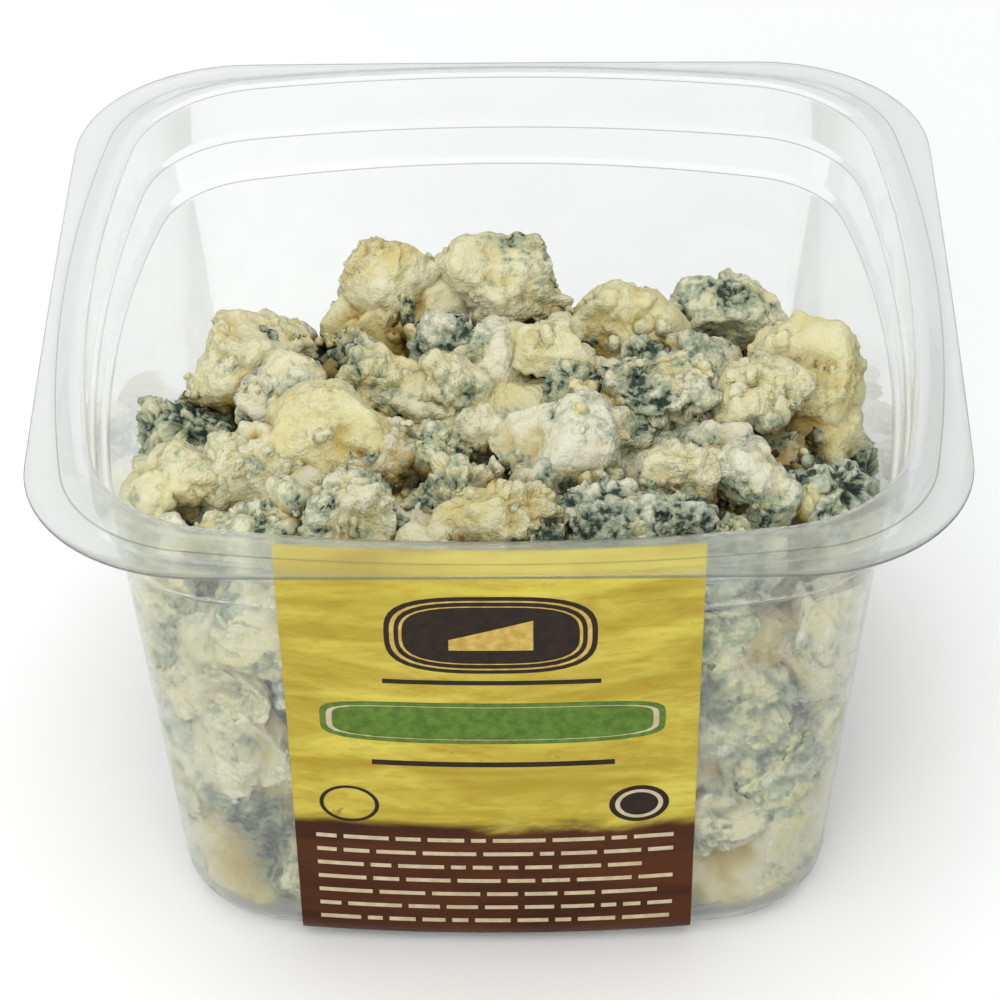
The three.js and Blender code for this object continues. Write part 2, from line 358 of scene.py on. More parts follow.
# Meshes
def add_mesh(name, points, face_sets, material, values=None):
    mesh = bpy.data.meshes.new(name)
    mesh.vertices.add(len(points))
    mesh.vertices.foreach_set("co", np.asarray(points, dtype=np.float32).ravel())
    corners = np.concatenate([faces.ravel() for faces in face_sets]).astype(np.int32)
    sizes = np.concatenate([np.full(len(faces), faces.shape[1]) for faces in face_sets])
    starts = np.concatenate([[0], np.cumsum(sizes)[:-1]]).astype(np.int32)
    mesh.loops.add(len(corners))
    mesh.loops.foreach_set("vertex_index", corners)
    mesh.polygons.add(len(sizes))
    mesh.polygons.foreach_set("loop_start", starts)
    mesh.update(calc_edges=True)
    mesh.polygons.foreach_set("use_smooth", np.ones(len(sizes), dtype=bool))
    for key, data in (values or {}).items():
        kind = "FLOAT_VECTOR" if data.ndim == 2 else "FLOAT"
        field = "vector" if data.ndim == 2 else "value"
        layer = mesh.attributes.new(key, kind, "POINT")
        layer.data.foreach_set(field, np.asarray(data, dtype=np.float32).ravel())
    mesh.materials.append(material)
    piece = bpy.data.objects.new(name, mesh)
    bpy.context.scene.collection.objects.link(piece)
    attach(piece, "root")
    return piece


# A closed skin from a start point, through rings of equal length, to an end point.
def loft(start, rings, end):
    count = len(rings[0])
    points = np.vstack([[start], *rings, [end]])
    here = np.arange(count)
    after = (here + 1) % count
    quads = []
    for ring in range(len(rings) - 1):
        near = 1 + ring * count
        far = near + count
        quads.append(np.column_stack([near + here, far + here, far + after, near + after]))
    last_ring = 1 + (len(rings) - 1) * count
    caps = [
        np.column_stack([np.zeros(count, int), 1 + here, 1 + after]),
        np.column_stack([last_ring + here, np.full(count, len(points) - 1), last_ring + after]),
    ]
    return points, [np.vstack(quads), np.vstack(caps)]


# Noise
def lattice(cells, seed):
    mixed = cells[..., 0] * 73856093 ^ cells[..., 1] * 19349663 ^ cells[..., 2] * 83492791
    mixed = (mixed + seed * 2654435761) & 0xFFFFFFFF
    mixed = ((mixed ^ (mixed >> 15)) * 2246822519) & 0xFFFFFFFF
    mixed = ((mixed ^ (mixed >> 13)) * 3266489917) & 0xFFFFFFFF
    return ((mixed ^ (mixed >> 16)) & 0xFFFFFF) / 0x1000000


def value_noise(points, size, seed):
    scaled = points / size
    cells = np.floor(scaled).astype(np.int64)
    share = scaled - cells
    share = share * share * (3 - 2 * share)
    total = np.zeros(len(points))
    for corner in range(8):
        step = np.array([corner & 1, corner >> 1 & 1, corner >> 2 & 1])
        weight = np.prod(np.where(step == 1, share, 1 - share), axis=1)
        total += weight * lattice(cells + step, seed)
    return total


# Round granules: 1 at the middle of each, falling to about 0 in the creases between them.
def granules(points, size, seed):
    scaled = points / size
    cells = np.floor(scaled).astype(np.int64)
    nearest = np.full(len(points), 9.0)
    for corner in range(27):
        step = np.array([corner % 3 - 1, corner // 3 % 3 - 1, corner // 9 - 1])
        cell = cells + step
        middle = np.column_stack([lattice(cell, seed + axis) for axis in range(3)])
        gap = np.sum((cell + middle - scaled) ** 2, axis=1)
        nearest = np.minimum(nearest, gap)
    return np.clip(1 - nearest / 0.75, 0, 1)


# The room inside the tub
fold_levels = sheet_levels()
upper_levels = rounded_levels(offset_levels(fold_levels, inner_offset(fold_levels)))
lower_levels = rounded_levels(offset_levels(fold_levels, inner_offset(fold_levels) + THIN_SHEET))
wall_levels = [level for level in upper_levels if level[3] < FLANGE_HEIGHT]
BEARINGS = 720
bearings = np.linspace(0, 2 * math.pi, BEARINGS + 1)


def ring_radii(level):
    flat = outline(*level[:3])
    angles = np.arctan2(flat[:, 1], flat[:, 0]) % (2 * math.pi)
    order = np.argsort(angles)
    return np.interp(bearings, angles[order], np.hypot(*flat[order].T), period=2 * math.pi)


room_heights = np.array([level[3] for level in wall_levels])
room_radii = np.array([ring_radii(level) for level in wall_levels])


def room_radius(z, angle):
    above = np.clip(np.searchsorted(room_heights, z), 1, len(room_heights) - 1)
    low = room_heights[above - 1]
    high = room_heights[above]
    share = np.clip((z - low) / np.maximum(high - low, 1e-9), 0, 1)
    place = (angle % (2 * math.pi)) / (2 * math.pi) * BEARINGS
    left = np.minimum(place.astype(int), BEARINGS - 1)
    part = place - left
    lower = lerp(room_radii[above - 1, left], room_radii[above - 1, left + 1], part)
    upper = lerp(room_radii[above, left], room_radii[above, left + 1], part)
    return lerp(lower, upper, share)


def polar(points):
    return np.hypot(points[:, 0], points[:, 1]), np.arctan2(points[:, 1], points[:, 0])


# The lowest point of the crumbs: they bridge the floor's round edge and leave it partly empty.
def foot_height(points):
    flat = points * (1, 1, 0)
    radius, angle = polar(points)
    room = room_radius(np.full(len(points), FOOT_LEVEL), angle)
    near = np.clip(1 - (room - radius) / FOOT_REACH, 0, 1)
    empty = smoothstep(value_noise(flat, FOOT_NOISE, 91), 0.3, 0.62)
    return THIN_SHEET - PRESS + FOOT_RISE * near ** 2 * empty


# Points kept above the heap's foot and inside the walls, into which they may sink by a depth.
def press(points, depth):
    z = np.maximum(points[:, 2], foot_height(points))
    radius, angle = polar(points)
    shrink = np.minimum(1, (room_radius(z, angle) + depth) / np.maximum(radius, 1e-9))
    return np.column_stack([points[:, 0] * shrink, points[:, 1] * shrink, z])


# Lumps of cheese
@functools.cache
def cube_sphere(cells):
    line = np.tan(np.linspace(-math.pi / 4, math.pi / 4, cells + 1))
    u, v = [grid.ravel() for grid in np.meshgrid(line, line, indexing="ij")]
    one = np.ones_like(u)
    sides = [(one, u, v), (-one, v, u), (v, one, u), (u, -one, v), (u, v, one), (v, u, -one)]
    points = np.vstack([np.column_stack(side) for side in sides])
    row = np.arange(cells)
    near = (row[:, None] * (cells + 1) + row[None, :]).ravel()
    quad = np.column_stack([near, near + cells + 1, near + cells + 2, near + 1])
    quads = np.vstack([quad + i * (cells + 1) ** 2 for i in range(6)])
    _, first, index = np.unique(np.round(points, 6), axis=0, return_index=True, return_inverse=True)
    directions = points[first]
    directions /= np.linalg.norm(directions, axis=1, keepdims=True)
    return directions, index.reshape(-1)[quads]


def spread_directions(count):
    i = np.arange(count) + 0.5
    lift = 1 - 2 * i / count
    turn = i * math.pi * (1 + math.sqrt(5))
    flat = np.sqrt(1 - lift * lift)
    return np.column_stack([flat * np.cos(turn), flat * np.sin(turn), lift])


def vertex_normals(points, quads):
    a, b, c, d = [points[quads[:, i]] for i in range(4)]
    face = np.cross(c - a, d - b)
    normals = np.zeros_like(points)
    for i in range(4):
        np.add.at(normals, quads[:, i], face)
    return normals / np.maximum(np.linalg.norm(normals, axis=1, keepdims=True), 1e-12)


def wall_distance(points):
    radius, angle = polar(points)
    return room_radius(points[:, 2], angle) - radius


# Small loose patches of faces are left out.
def without_patches(quads, count):
    patch = np.arange(count)
    settled = False
    while not settled:
        before = patch
        patch = patch.copy()
        np.minimum.at(patch, quads.ravel(), np.repeat(before[quads].min(axis=1), 4))
        patch = patch[patch]
        settled = np.array_equal(before, patch)
    owner = patch[quads[:, 0]]
    return quads[np.bincount(owner)[owner] >= LEAST_PATCH]


# Faces deep inside the heap, which nothing shows, are left out.
def without_hidden(points, quads, values):
    x, y, z = points.T
    below = heap_level(x, y) - CORE_SINK - z
    hidden = (wall_distance(points) > HIDDEN_DEPTH) & (below > HIDDEN_SINK) & (z > HIDDEN_DEPTH)
    quads = without_patches(quads[~hidden[quads].all(axis=1)], len(points))
    used, index = np.unique(quads, return_inverse=True)
    kept = {key: data[used] for key, data in values.items()}
    return points[used], index.reshape(quads.shape), kept


# How far the surface of crumbly cheese stands out, from broad swells down to single granules,
# and how rough it is at each point.
def crumbled(grain, crumble):
    patch = smoothstep(value_noise(grain, PATCH_SIZE, 11), 0.3, 0.7)
    rough = np.clip(crumble * (0.4 + 0.9 * patch), 0, 1.2)
    warp = [value_noise(grain, WARP_SIZE, seed) for seed in (71, 73, 79)]
    bent = grain + WARP_REACH * (np.column_stack(warp) - 0.5)
    swell = value_noise(grain, SWELL_SIZE, 41) - 0.5
    ridge = np.abs(2 * value_noise(grain, RIDGE_SIZE, 43) - 1)
    coarse = granules(bent, COARSE_SIZE, 21)
    fine = granules(bent, FINE_SIZE, 31)
    crack = np.exp(-((value_noise(grain, CRACK_SIZE, 51) - 0.5) / CRACK_WIDTH) ** 2)
    depth = SWELL_DEPTH * (0.2 + crumble) * swell + RIDGE_DEPTH * crumble * (ridge - 0.4)
    depth += (COARSE_DEPTH[1] * rough + COARSE_DEPTH[0]) * (coarse - 0.72)
    depth += (FINE_DEPTH[1] * rough + FINE_DEPTH[0]) * (fine - 0.68)
    return depth - CRACK_DEPTH * crack * patch, rough


# 1 where the cheese is pressed against a wall, falling to 0 away from it.
def pressed_share(points):
    return np.exp(-np.maximum(wall_distance(points), 0) / PRESSED_DEPTH)


# Gathers lumps of one kind, so that they become one mesh.
class Pile:
    def __init__(self, seed):
        self.chance = np.random.RandomState(seed)
        self.points = []
        self.quads = []
        self.values = {"grain": [], "tone": [], "mould": [], "crumble": [], "press": []}
        self.count = 0

    # A broken lump: a ball cut by flat faces, stretched, narrower at the top, turned and wavy.
    def add(self, centre, halves, turn, edge, tone, mould, crumble, tilt=0.0, uneven=0.0,
            sides=LUMP_FACES):
        chance = self.chance
        halves = np.asarray(halves)
        size = halves.mean()
        cells = max(3, int(round(1.6 * size / edge)))
        directions, quads = cube_sphere(cells)
        faces = chance.randint(*sides)
        normals = spread_directions(faces) + chance.uniform(-0.4, 0.4, (faces, 3))
        normals /= np.linalg.norm(normals, axis=1, keepdims=True)
        heights = chance.uniform(LUMP_HEIGHTS[0] - uneven, LUMP_HEIGHTS[1], faces)
        spin = np.array(Matrix.Rotation(chance.uniform(0, 6.28), 3, Vector(normals[0])))
        facing = np.maximum(directions @ (normals @ spin).T / heights, 0)
        blunt = np.sum(facing ** LUMP_SHARPNESS, axis=1) + LUMP_BALL ** -LUMP_SHARPNESS
        reach = blunt ** (-1 / LUMP_SHARPNESS)
        offset = chance.uniform(0, 0.5, 3)
        wave = value_noise(directions * size + offset, 0.8 * size, 5)
        reach *= 1 + LUMP_WAVE * (wave - 0.5)
        local = directions * reach[:, None] * halves
        local[:, :2] *= 1 - chance.uniform(*LUMP_TAPER) * local[:, 2:] / halves[2]
        turned = np.array(Matrix.Rotation(turn, 3, "Z") @ Matrix.Rotation(tilt, 3, "X"))
        self.points.append(local @ turned.T + np.asarray(centre))
        self.quads.append(quads + self.count)
        self.count += len(local)
        self.values["grain"].append(local + offset)
        # Each lump is pressed a little less or more than the next, so no two faces share a plane.
        pressing = PRESS * (0.25 + 0.75 * (len(self.quads) * GOLDEN % 1))
        settings = {"tone": tone, "mould": mould, "crumble": crumble, "press": pressing}
        for key, value in settings.items():
            self.values[key].append(np.full(len(local), value))

    # Breaks up the surface of all the lumps, and presses them to the walls.
    def break_up(self):
        points = np.vstack(self.points)
        self.quads = np.vstack(self.quads)
        self.values = {key: np.concatenate(data) for key, data in self.values.items()}
        depth, rough = crumbled(self.values["grain"], self.values.pop("crumble"))
        moved = points + vertex_normals(points, self.quads) * depth[:, None]
        self.values["hollow"] = np.clip(-depth / HOLLOW_DEPTH, 0, 1)
        self.placed = press(moved, self.values.pop("press") - PRESSED_RELIEF * self.values["hollow"])
        self.values["mould"] = self.values["mould"] + ROUGH_MOULD * (rough - 0.5)
        self.values["rough"] = rough

    def build(self, name, material, surface, shade=1.0):
        # Painted shade in the gaps, and gap mould, scaled by shade
        self.values["gap_shade_and_mould"] = shade * surface.gap_shade_and_mould(self.placed)
        self.values["pressed"] = pressed_share(self.placed)
        points, quads, values = without_hidden(self.placed, self.quads, self.values)
        return add_mesh(name, points, [quads], material, values)


# The heap seen from above: the height at each place, and the mean height around it.
class Surface:
    def __init__(self, piles):
        points = np.vstack([pile.placed for pile in piles])
        self.count = int(round(2 * FLANGE_HALF / MAP_STEP))
        self.heights = np.zeros((self.count, self.count))
        np.maximum.at(self.heights, self.cells(points[:, 0], points[:, 1]), points[:, 2])
        shifts = range(-MAP_REACH, MAP_REACH + 1)
        moved = [np.roll(self.heights, (i, j), (0, 1)) for i in shifts for j in shifts]
        self.mean = np.mean(moved, axis=0)

    def cells(self, x, y):
        steps = [((np.asarray(along) + FLANGE_HALF) / MAP_STEP).astype(int) for along in (x, y)]
        return tuple(np.clip(step, 0, self.count - 1) for step in steps)

    def mean_at(self, x, y):
        half = MAP_STEP / 2
        column, row = self.cells(x - half, y - half)
        across = np.clip((x - half + FLANGE_HALF) / MAP_STEP - column, 0, 1)
        along = np.clip((y - half + FLANGE_HALF) / MAP_STEP - row, 0, 1)
        right = np.minimum(column + 1, self.count - 1)
        behind = np.minimum(row + 1, self.count - 1)
        near = lerp(self.mean[column, row], self.mean[right, row], across)
        far = lerp(self.mean[column, behind], self.mean[right, behind], across)
        return lerp(near, far, along)

    # How deep points lie in the gaps of the heap: 0 in the open or at a wall, 1 deep down. It sets the
    # painted shade in the gaps, and a little more mould there.
    def gap_shade_and_mould(self, points):
        below = (self.mean_at(points[:, 0], points[:, 1]) + MAP_STEP - points[:, 2]) / GAP_DEPTH
        inward = wall_distance(points) / WALL_GAP_DEPTH
        return np.clip(np.minimum(below, inward), 0, 1)


# Materials
def srgb(red, green, blue):
    def linear(value):
        value /= 255
        return value / 12.92 if value <= 0.04045 else ((value + 0.055) / 1.055) ** 2.4
    return (linear(red), linear(green), linear(blue), 1)


class Nodes:
    def __init__(self, name):
        self.material = bpy.data.materials.new(name)
        self.material.use_nodes = True
        self.tree = self.material.node_tree
        self.tree.nodes.clear()
        self.output = self.tree.nodes.new("ShaderNodeOutputMaterial")

    def add(self, kind, settings=None, **inputs):
        node = self.tree.nodes.new(kind)
        for key, value in (settings or {}).items():
            setattr(node, key, value)
        for key, value in inputs.items():
            self.put(node.inputs[key.replace("_", " ")], value)
        return node

    def put(self, socket, value):
        if isinstance(value, bpy.types.NodeSocket):
            self.tree.links.new(value, socket)
        else:
            socket.default_value = value

    def fill(self, kind, settings, places, values):
        node = self.add(kind, settings)
        for place, value in zip(places, values):
            self.put(node.inputs[place], value)
        return node

    def math(self, operation, a, b, clamp=False):
        settings = {"operation": operation, "use_clamp": clamp}
        return self.fill("ShaderNodeMath", settings, (0, 1), (a, b)).outputs[0]

    def times(self, a, b):
        return self.math("MULTIPLY", a, b)

    def plus(self, a, b, clamp=False):
        return self.math("ADD", a, b, clamp)

    # How far a value lies from its middle, made stronger or weaker.
    def spread(self, value, middle, gain):
        return self.times(self.math("SUBTRACT", value, middle), gain)

    def coordinates(self):
        return self.add("ShaderNodeTexCoord").outputs["Object"]

    def noise(self, vector, size, detail, roughness, distortion=0.0):
        node = self.add("ShaderNodeTexNoise", Vector=vector, Scale=1 / size, Detail=detail,
                        Roughness=roughness, Distortion=distortion)
        return node.outputs["Fac"]

    def ramp(self, value, low, high, to_low=0.0, to_high=1.0):
        node = self.add("ShaderNodeMapRange", {"interpolation_type": "SMOOTHSTEP"}, Value=value,
                        From_Min=low, From_Max=high, To_Min=to_low, To_Max=to_high)
        return node.outputs["Result"]

    # Two colours, two numbers or two shaders, mixed by a share.
    def mix(self, share, a, b):
        return self.fill("ShaderNodeMix", {"data_type": "RGBA"}, (0, 6, 7), (share, a, b)).outputs[2]

    def blend(self, share, a, b):
        return self.fill("ShaderNodeMix", {}, (0, 2, 3), (share, a, b)).outputs[0]

    def join(self, share, a, b):
        return self.fill("ShaderNodeMixShader", {}, (0, 1, 2), (share, a, b)).outputs[0]

    def attribute(self, name):
        node = self.add("ShaderNodeAttribute", {"attribute_name": name})
        return node.outputs["Vector"] if name == "grain" else node.outputs["Fac"]

    def finish_surface(self, colour, rough, **inputs):
        shader = self.add("ShaderNodeBsdfPrincipled", Base_Color=colour, Roughness=rough, **inputs)
        return self.finish(shader.outputs[0])

    def finish(self, shader):
        self.tree.links.new(shader, self.output.inputs["Surface"])
        return self.material


def cheese_material():
    nodes = Nodes("blue_cheese")
    names = ("grain", "tone", "mould", "hollow", "gap_shade_and_mould", "pressed", "rough")
    grain, tone, mould, hollow, gap_shade_and_mould, pressed, crumbly = [nodes.attribute(name) for name in names]
    region = nodes.noise(grain, REGION_SIZE, 2, 0.5)
    blotch = nodes.noise(grain, BLOTCH_SIZE, 3, 0.55)
    speck = nodes.noise(grain, SPECK_SIZE, 2, 0.55)
    # Mould lies in veins: where a few patterns, the lump's own share and the creases add up.
    sharp = nodes.plus(nodes.times(blotch, BLOTCH_SHARE), nodes.times(speck, SPECK_SHARE))
    soft = nodes.times(blotch, BLOTCH_SHARE + SPECK_SHARE)
    veins = nodes.blend(nodes.times(pressed, 0.7), sharp, soft)
    for part in (
        nodes.times(region, REGION_SHARE),
        nodes.spread(mould, 0.5, 0.19),
        nodes.times(nodes.spread(hollow, 0.3, mould), 0.12),
        nodes.ramp(gap_shade_and_mould, 0.05, 0.5, -0.012, 0.03),
    ):
        veins = nodes.plus(veins, part)
    halo = nodes.ramp(veins, *HALO_RANGE, 0, 0.80)
    dark = nodes.ramp(veins, *MOULD_RANGE, 0, 0.95)
    dark = nodes.times(dark, nodes.ramp(speck, 0.38, 0.55, 0.62, 1))
    dark = nodes.times(dark, nodes.ramp(pressed, 0.2, 0.9, 1, 0.45))
    warm = nodes.plus(tone, nodes.spread(blotch, 0.5, 1.0), clamp=True)
    cream = nodes.mix(warm, srgb(*CREAM), srgb(*YELLOW_CREAM))
    # Painted shade: sunken parts of the crumbly surface turn amber
    cream = nodes.mix(nodes.times(hollow, 0.6), cream, srgb(*PAINTED_CREASE_AMBER))
    # Painted shade: deeper in the gaps the cream turns amber
    cream = nodes.mix(nodes.ramp(gap_shade_and_mould, 0.05, 0.55, 0, 0.88), cream, srgb(*PAINTED_GAP_AMBER))
    stained = nodes.mix(halo, cream, srgb(*MOULD_HALO))
    mouldy = nodes.mix(dark, stained, srgb(*MOULD))
    # Painted shade: the deepest gaps darken towards near black olive
    colour = nodes.mix(nodes.ramp(gap_shade_and_mould, 0.35, 0.9, 0, 0.9), mouldy, srgb(*GAP_SHADE))
    relief = nodes.noise(grain, RELIEF_SIZE, 2, 0.65)
    strength = nodes.ramp(crumbly, 0.1, 0.7, 0.5, 1)
    bump = nodes.add("ShaderNodeBump", Height=relief, Strength=strength, Distance=RELIEF_SIZE)
    rough = nodes.ramp(blotch, 0.3, 0.7, 0.40, 0.60)
    return nodes.finish_surface(colour, rough, Normal=bump.outputs["Normal"], IOR=1.42,
                                Specular_IOR_Level=0.35)


def plastic_material(name, tint, clear_tint, clear_share):
    nodes = Nodes(name)
    ripple = nodes.noise(nodes.coordinates(), 0.02, 0, 0.5)
    bump = nodes.add("ShaderNodeBump", Height=ripple, Strength=0.2, Distance=0.0004)
    glass = nodes.add("ShaderNodeBsdfPrincipled", Base_Color=tint, Roughness=0.006, IOR=1.46,
                      Transmission_Weight=1, Normal=bump.outputs["Normal"])
    clear = nodes.add("ShaderNodeBsdfTransparent", Color=clear_tint).outputs[0]
    shadow_ray = nodes.add("ShaderNodeLightPath").outputs["Is Shadow Ray"]
    thinned = nodes.join(clear_share, glass.outputs[0], clear)
    return nodes.finish(nodes.join(shadow_ray, thinned, clear))


def label_material():
    nodes = Nodes("label_paper")
    coordinates = nodes.coordinates()
    streaks = nodes.add("ShaderNodeMapping", Vector=coordinates, Scale=(0.25, 1, 1))
    wide = nodes.noise(streaks.outputs[0], 0.007, 4, 0.6, 0.8)
    fine = nodes.noise(streaks.outputs[0], 0.0012, 4, 0.7)
    spots = nodes.noise(coordinates, 0.0035, 3, 0.6)
    height = nodes.add("ShaderNodeSeparateXYZ", Vector=coordinates).outputs["Z"]
    edge = nodes.plus(height, nodes.spread(wide, 0.5, 0.006))
    paper = nodes.mix(nodes.ramp(wide, 0.3, 0.72), srgb(*PAPER[0]), srgb(*PAPER[1]))
    paper = nodes.mix(nodes.ramp(fine, 0.45, 0.72, 0, 0.5), paper, srgb(*PAPER_STREAK))
    paper = nodes.mix(nodes.ramp(spots, 0.70, 0.76, 0, 0.7), paper, srgb(*PAPER_SPOT))
    foot = nodes.mix(nodes.ramp(wide, 0.3, 0.7), srgb(*FOOT_FIELD[0]), srgb(*FOOT_FIELD[1]))
    field = nodes.ramp(edge, FOOT_FIELD_TOP - 0.0016, FOOT_FIELD_TOP + 0.0014)
    colour = nodes.mix(field, foot, paper)
    rough = nodes.ramp(fine, 0.3, 0.7, 0.38, 0.5)
    return nodes.finish_surface(colour, rough, IOR=1.45, Specular_IOR_Level=0.15)


def ink_material(name, low, high):
    nodes = Nodes(name)
    mottle = nodes.noise(nodes.coordinates(), 0.0015, 3, 0.6)
    colour = nodes.mix(nodes.ramp(mottle, 0.3, 0.7), srgb(*low), srgb(*high))
    rough = nodes.ramp(mottle, 0.3, 0.7, 0.36, 0.48)
    return nodes.finish_surface(colour, rough, IOR=1.45, Specular_IOR_Level=0.15)


# A dull surface of two pale colours in patches of one size.
def dull_material(name, size, detail, roughness, low, high):
    nodes = Nodes(name)
    mottle = nodes.noise(nodes.coordinates(), size, detail, roughness)
    return nodes.finish_surface(nodes.mix(mottle, srgb(*low), srgb(*high)), 0.6)


# The tub
def build_tub():
    wall = plastic_material("clear_plastic", srgb(252, 254, 252), (0.985, 0.995, 0.987, 1), 0.38)
    # Darker tinted plastic for the painted shade of the rim's cut edge
    painted_edge_shade = plastic_material("cut_edge_painted_shade", srgb(150, 154, 146), (0.5, 0.52, 0.48, 1), 0.2)
    # Darker tinted plastic for the painted shade of the sharp folds
    painted_fold_shade = plastic_material("fold_painted_shade", srgb(170, 174, 168), (0.55, 0.57, 0.54, 1), 0.25)
    round_edge = [
        (-EDGE_ROUND, 0),
        (-0.3 * EDGE_ROUND, -0.3 * EDGE_ROUND),
        (0, -EDGE_ROUND),
        (0, EDGE_ROUND - THIN_SHEET),
        (-0.3 * EDGE_ROUND, 0.3 * EDGE_ROUND - THIN_SHEET),
        (-EDGE_ROUND, -THIN_SHEET),
    ]
    edge = [upper_levels[-1] + (out, out, 0, drop) for out, drop in round_edge]
    levels = [*upper_levels[:-1], *edge, *lower_levels[:-1][::-1]]
    rings = [ring_at(level) for level in levels]
    points, faces = loft((0, 0, THIN_SHEET), rings, (0, 0, 0))
    tub = add_mesh("tub_shell", points, faces, wall)
    tub.data.materials.append(painted_edge_shade)
    tub.data.materials.append(painted_fold_shade)
    around = len(rings[0])
    first = (len(upper_levels) - 1) * around
    parts = np.zeros(sum(len(part) for part in faces), np.int32)
    # The rounded cut edge of the rim gets the darker tinted plastic: painted shade for its thin grey
    # line
    parts[first:first + (len(round_edge) - 1) * around] = 1
    # The middle of each sharp fold bends the light away, so it shows as a thin grey line; that shade is
    # painted here as a band of darker tinted plastic.
    for level in SHARP_FOLDS:
        ring = 1 + (FILLET_STEPS + level) * (FOLD_STEPS + 1) + FOLD_STEPS // 2
        parts[ring * around:(ring + 1) * around] = 2
    tub.data.polygons.foreach_set("material_index", parts)
    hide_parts("tub")


# The cheese
# Large lumps as in the solids: middle, size, turn in degrees, then how yellow, veined and crumbly.
LUMPS = [
    ((-0.017, 0.020, 0.069), (0.013, 0.012, 0.018), 10, 0.5, 0.1, 0.7),
    ((-0.019, 0.014, 0.061), (0.015, 0.013, 0.013), -15, 0.95, 0.15, 0.4),
    ((0.000, 0.020, 0.069), (0.019, 0.014, 0.015), 5, 0.55, 0.45, 0.7),
    ((0.033, 0.021, 0.063), (0.019, 0.013, 0.011), 10, 0.45, 0.75, 0.8),
    ((0.018, 0.014, 0.066), (0.018, 0.013, 0.012), -8, 0.7, 0.1, 0.35),
    ((-0.037, 0.008, 0.063), (0.019, 0.017, 0.017), 25, 0.55, 0.3, 0.55),
    ((-0.008, 0.008, 0.066), (0.009, 0.009, 0.012), 0, 0.2, 0.8, 0.8),
    ((0.007, 0.001, 0.071), (0.016, 0.008, 0.009), -28, 0.6, 0.0, 0.5),
    ((0.044, 0.000, 0.064), (0.017, 0.020, 0.020), -12, 0.75, 0.25, 0.55),
    ((0.037, -0.010, 0.070), (0.015, 0.012, 0.009), 12, 0.6, 0.35, 0.6),
    ((0.023, -0.009, 0.070), (0.021, 0.013, 0.012), -10, 0.35, 0.6, 0.8),
    ((-0.031, -0.004, 0.066), (0.013, 0.011, 0.009), 15, 0.3, 0.75, 0.8),
    ((-0.012, -0.005, 0.065), (0.016, 0.012, 0.010), 0, 0.5, 0.6, 0.6),
    ((-0.003, -0.015, 0.066), (0.009, 0.009, 0.011), 20, 0.4, 0.45, 0.6),
    ((-0.024, -0.018, 0.068), (0.023, 0.017, 0.015), -12, 0.75, 0.15, 0.35),
    ((-0.038, -0.021, 0.066), (0.009, 0.009, 0.010), 0, 0.5, 0.0, 0.6),
    ((0.009, -0.020, 0.069), (0.020, 0.015, 0.014), 6, 0.15, 0.6, 0.5),
    ((-0.045, -0.021, 0.062), (0.016, 0.014, 0.013), -8, 0.6, 0.45, 0.45),
    ((0.046, -0.025, 0.062), (0.013, 0.012, 0.012), 0, 0.1, 0.85, 0.9),
    ((0.034, -0.029, 0.067), (0.013, 0.014, 0.017), 10, 0.15, 0.7, 0.5),
    ((0.025, -0.031, 0.070), (0.012, 0.011, 0.011), 0, 0.5, 0.2, 0.7),
    ((0.000, -0.040, 0.070), (0.018, 0.013, 0.013), 8, 0.6, 0.05, 0.75),
    ((0.019, -0.040, 0.069), (0.022, 0.013, 0.013), -5, 0.1, 0.68, 0.7),
    ((-0.020, -0.040, 0.070), (0.016, 0.012, 0.013), -6, 0.4, 0.5, 0.8),
    ((-0.034, -0.038, 0.067), (0.015, 0.012, 0.011), 12, 0.35, 0.5, 0.9),
]
# Lumps that fill in between them
FILLERS = [
    ((-0.013, 0.019, 0.065), (0.015, 0.012, 0.013), 20, 0.6, 0.1, 0.5),
    ((-0.020, 0.018, 0.064), (0.013, 0.012, 0.012), 70, 0.7, 0.1, 0.4),
    ((0.0455, -0.006, 0.058), (0.015, 0.016, 0.016), 40, 0.7, 0.3, 0.5),
    ((0.038, -0.015, 0.061), (0.012, 0.011, 0.012), 10, 0.4, 0.5, 0.7),
]
LUMP_CORNERS = 42
CRUMB_CORNERS = 12
KNOBS = 5
KNOB_SHARE = (0.16, 0.42)
KNOB_REACH = 0.7


def build_large_lumps(draws):
    pile = Pile(3)
    for at, size, turn, tone, mould, crumble in LUMPS:
        draws.skip(LUMP_CORNERS)
        tilt = math.radians(30 * (draws.next() - 0.5))
        halves = np.array(size) / 2
        pile.add(at, halves, math.radians(turn), LUMP_EDGE, tone, mould, crumble, tilt)
        for _ in range(KNOBS):
            way = pile.chance.normal(size=3)
            way /= np.linalg.norm(way)
            knob = halves.mean() * pile.chance.uniform(*KNOB_SHARE)
            spot = np.array(at) + way * halves * KNOB_REACH
            stretch = pile.chance.uniform(0.8, 1.25, 3)
            veined = np.clip(mould + pile.chance.uniform(-0.25, 0.35), 0, 1)
            pile.add(spot, knob * stretch, pile.chance.uniform(0, 3), LUMP_EDGE, tone, veined, crumble)
    for at, size, turn, tone, mould, crumble in FILLERS:
        pile.add(at, np.array(size) / 2, math.radians(turn), LUMP_EDGE, tone, mould, crumble)
    return pile


def build_surface_crumbs(draws):
    pile = Pile(4)
    chance = pile.chance

    def place(i):
        middle = i - (CRUMBS_ACROSS - 1) / 2
        return CRUMB_SPACING * (middle + CRUMB_SCATTER * (draws.next() - 0.5))

    for column in range(CRUMBS_ACROSS):
        for row in range(CRUMBS_ACROSS):
            x = place(column)
            y = place(row)
            halves = [draws.between(CRUMB_HALF) for _ in range(3)]
            z = heap_level(x, y) - CRUMB_SINK * halves[2]
            turn = math.pi * draws.next()
            draws.skip(CRUMB_CORNERS + 1)
            pile.add((x, y, z), halves, turn, CRUMB_EDGE, chance.uniform(0.1, 0.8),
                     chance.uniform(0.15, 0.82), chance.uniform(0.5, 1))
    return pile


